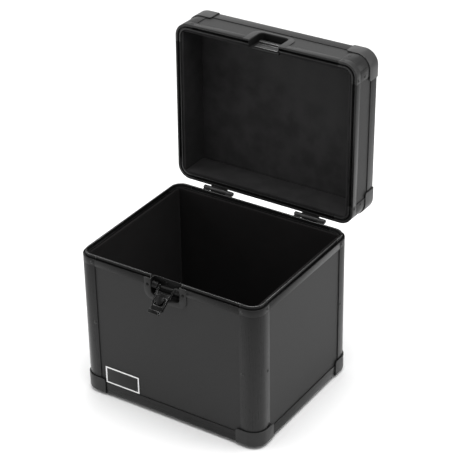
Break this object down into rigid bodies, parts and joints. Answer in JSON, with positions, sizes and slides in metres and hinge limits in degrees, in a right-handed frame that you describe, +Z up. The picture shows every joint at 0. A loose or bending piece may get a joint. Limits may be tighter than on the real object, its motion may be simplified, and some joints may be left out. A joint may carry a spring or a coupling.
{
  "type": "record carrying case",
  "caption": "Upright hard case for record sleeves, with a deep hinged lid that stands open, edge profiles, corner caps, recessed butterfly latch and a fold-down carrying handle.",
  "frame": {"origin": "centre of the underside of the base board; the rubber feet stand 6.5 mm below it", "axes": "+Z up, -Y the front with the latch, +X to the right seen from the front; stored with the lid open"},
  "size_m": [0.3638, 0.4373, 0.5864],
  "materials": {
    "laminated_board": "black laminate over plywood, finely textured",
    "profile": "dark anodised, satin",
    "corner_cap": "pressed steel, dark satin coat",
    "dark_rivet": "black semi-gloss",
    "lining_foam": "foam sheet faced with dull black cloth",
    "rubber": "matte black",
    "zinc_screw": "zinc-plated",
    "badge": "black plate with a pale printed edge line",
    "dish_steel": "pressed steel, dark satin coat",
    "fitting_steel": "dark nickel, satin",
    "spring_steel": "drawn wire, oiled",
    "latch_steel": "dark nickel, satin",
    "bracket_steel": "black semi-gloss",
    "handle_steel": "dark nickel, satin",
    "grip": "moulded black rubber"
  },
  "bodies": {
    "case": {"base_panel": "laminated_board", "front_panel": "laminated_board", "rear_panel": "laminated_board", "left_panel": "laminated_board", "right_panel": "laminated_board", "corner_posts": "profile", "base_edge_front": "profile", "base_edge_rear": "profile", "base_edge_left": "profile", "base_edge_right": "profile", "base_corner_caps": "corner_cap", "rim_front": "profile", "rim_rear": "profile", "rim_left": "profile", "rim_right": "profile", "rim_corners": "profile", "case_rivets": "dark_rivet", "case_lining": "lining_foam", "floor_pad": "lining_foam", "feet": "rubber", "foot_screws": "zinc_screw", "badge_plate": "badge", "latch_dish": "dish_steel", "latch_dish_rivets": "fitting_steel", "latch_pin": "spring_steel", "latch_springs": "spring_steel", "hinge_leaves_case": "fitting_steel", "hinge_pins": "spring_steel", "hinge_rivets_case": "fitting_steel"},
    "lid": {"lid_panel": "laminated_board", "lid_front_panel": "laminated_board", "lid_rear_panel": "laminated_board", "lid_left_panel": "laminated_board", "lid_right_panel": "laminated_board", "lid_posts": "profile", "lid_edge_front": "profile", "lid_edge_rear": "profile", "lid_edge_left": "profile", "lid_edge_right": "profile", "lid_corner_caps": "corner_cap", "lid_rim_front": "profile", "lid_rim_rear": "profile", "lid_rim_left": "profile", "lid_rim_right": "profile", "lid_rim_corners": "profile", "lid_rivets": "dark_rivet", "lid_lining": "lining_foam", "catch_dish": "dish_steel", "catch_strike": "fitting_steel", "hinge_leaves_lid": "fitting_steel", "hinge_rivets_lid": "fitting_steel", "handle_brackets": "bracket_steel"},
    "handle": {"handle_bow": "handle_steel", "handle_grip": "grip"},
    "latch_arm": {"latch_arm": "latch_steel"},
    "latch_hook": {"latch_hook": "latch_steel"},
    "butterfly": {"latch_cam": "latch_steel", "wing_pins": "spring_steel"},
    "wing_left": {"wing_left": "latch_steel"},
    "wing_right": {"wing_right": "latch_steel"}
  },
  "joints": [
    {"name": "lid_hinge", "type": "hinge", "parent": "case", "child": "lid", "pos_m": [0, 0.158, 0.27075], "axis": [1, 0, 0], "range_deg": [0, 91]},
    {"name": "handle_swing", "type": "hinge", "parent": "lid", "child": "handle", "pos_m": [0, 0.241, 0.42733], "axis": [1, 0, 0], "range_deg": [-3, 178]},
    {"name": "latch_swing", "type": "hinge", "parent": "case", "child": "latch_arm", "pos_m": [0, -0.1435, 0.255], "axis": [1, 0, 0], "range_deg": [-127, 0]},
    {"name": "latch_turn", "type": "hinge", "parent": "latch_arm", "child": "butterfly", "pos_m": [0, -0.16347, 0.23995], "axis": [0, 0.6018, -0.7986], "range_deg": [0, 180]},
    {"name": "latch_hook_slide", "type": "slide", "parent": "latch_arm", "child": "latch_hook", "axis": [0, 0.7986, 0.6018], "range_m": [0, 0.006]},
    {"name": "wing_left_fold", "type": "hinge", "parent": "butterfly", "child": "wing_left", "pos_m": [-0.0032, -0.16052, 0.23604], "axis": [0, -0.7986, -0.6018], "range_deg": [-90, 0]},
    {"name": "wing_right_fold", "type": "hinge", "parent": "butterfly", "child": "wing_right", "pos_m": [0.0032, -0.16052, 0.23604], "axis": [0, -0.7986, -0.6018], "range_deg": [0, 90]}
  ],
  "couplings": [
    {"joint": "latch_turn", "follows": "latch_hook_slide", "rad_per_m": 523.59}
  ]
}
